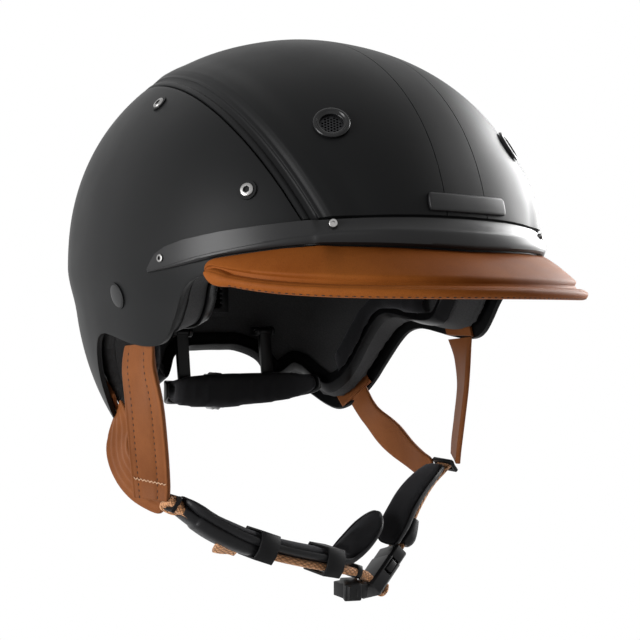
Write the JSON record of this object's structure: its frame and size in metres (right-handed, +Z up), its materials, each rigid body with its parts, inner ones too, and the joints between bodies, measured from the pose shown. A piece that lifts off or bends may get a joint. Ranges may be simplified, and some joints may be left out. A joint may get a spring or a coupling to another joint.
{
  "type": "bicycle helmet",
  "caption": "Hard-shell helmet in matte black with a leather-covered peak, leather harness with padded chin strap and side buckle, foam liner and rear dial-fit cradle.",
  "frame": {"origin": "middle of the head space, level with the temples under the brow edge, which is where the wearer's head holds the helmet", "axes": "+Z up as worn, the front with the peak along -Y, the wearer's right along -X"},
  "size_m": [0.2318, 0.3211, 0.31],
  "materials": {
    "shell": "soft matte black moulded shell",
    "trim": "satin black moulded trim",
    "foam": "dark grey bead foam",
    "board": "plain stiffener, hidden",
    "peak_leather": "smooth tan leather with a soft shine",
    "peak_lining": "plain tan leather lining",
    "strap_leather": "tan grained leather, padded and stitched",
    "webbing": "flat braided tan webbing",
    "padding": "black brushed cloth over soft foam",
    "steel": "stainless, brushed",
    "fittings": "black moulded nylon",
    "dial": "silver grey moulded knob",
    "buckle": "black moulded acetal",
    "mesh": "dark perforated disc"
  },
  "bodies": {
    "helmet": {"crown_shell": "shell", "side_shell_right": "shell", "side_shell_left": "shell", "foam_liner": "foam", "liner_rim": "trim", "brow_trim": "trim", "peak_board": "board", "peak_leather": "peak_leather", "peak_lining": "peak_lining", "badge_plate": "trim", "vent_rings": "trim", "vent_meshes": "mesh", "panel_screws": "steel", "trim_screws": "steel", "side_studs": "shell", "brow_pad": "padding", "crown_pad": "padding", "side_pad_right": "padding", "side_pad_left": "padding", "height_guide": "fittings", "cradle_brackets": "fittings", "cradle_pins": "steel", "strap_roots": "strap_leather"},
    "cradle": {"cradle_struts": "fittings", "cradle_band": "fittings", "cradle_pad": "padding", "dial_housing": "fittings"},
    "dial": {"dial_knob": "dial", "dial_gear": "steel"},
    "right_harness": {"front_strap_right": "strap_leather", "rear_strap_right": "strap_leather", "junction_ring_right": "fittings", "chin_webbing": "webbing", "chin_cover": "padding", "chin_pad": "padding", "strap_keepers": "fittings", "slider_ring": "fittings", "buckle_housing": "buckle", "adjuster_bar": "buckle"},
    "left_harness": {"front_strap_left": "strap_leather", "rear_strap_left": "strap_leather", "junction_ring_left": "fittings", "left_webbing": "webbing", "left_cover": "padding", "left_pad": "padding", "buckle_clip": "buckle"},
    "button_front": {"release_button_front": "buckle"},
    "button_back": {"release_button_back": "buckle"}
  },
  "joints": [
    {"name": "cradle_swing", "type": "hinge", "parent": "helmet", "child": "cradle", "pos_m": [0, 0.079, -0.038], "axis": [-1, 0, 0], "range_deg": [0, 10]},
    {"name": "dial_turn", "type": "hinge", "parent": "cradle", "child": "dial", "pos_m": [0, 0.08, -0.076], "axis": [0, 1, 0], "range_deg": [0, 250]},
    {"name": "right_harness_swing", "type": "hinge", "parent": "helmet", "child": "right_harness", "pos_m": [-0.1055, -0.016, -0.043], "axis": [0.205, 0.842, -0.499], "range_deg": [0, 34]},
    {"name": "left_harness_swing", "type": "hinge", "parent": "helmet", "child": "left_harness", "pos_m": [0.1045, -0.027, -0.043], "axis": [0.17, -0.8808, 0.4419], "range_deg": [0, 8.5]},
    {"name": "front_button_press", "type": "slide", "parent": "left_harness", "child": "button_front", "axis": [0.0466, 0.9343, -0.3534], "range_m": [0, 0.0014], "stiffness_N_per_m": 300},
    {"name": "back_button_press", "type": "slide", "parent": "left_harness", "child": "button_back", "axis": [-0.0466, -0.9343, 0.3534], "range_m": [0, 0.0014], "stiffness_N_per_m": 300}
  ],
  "couplings": [
    {"joint": "cradle_swing", "follows": "dial_turn", "ratio": 0.04},
    {"joint": "left_harness_swing", "follows": "right_harness_swing", "ratio": 0.25},
    {"joint": "front_button_press", "follows": "back_button_press", "ratio": 1}
  ]
}
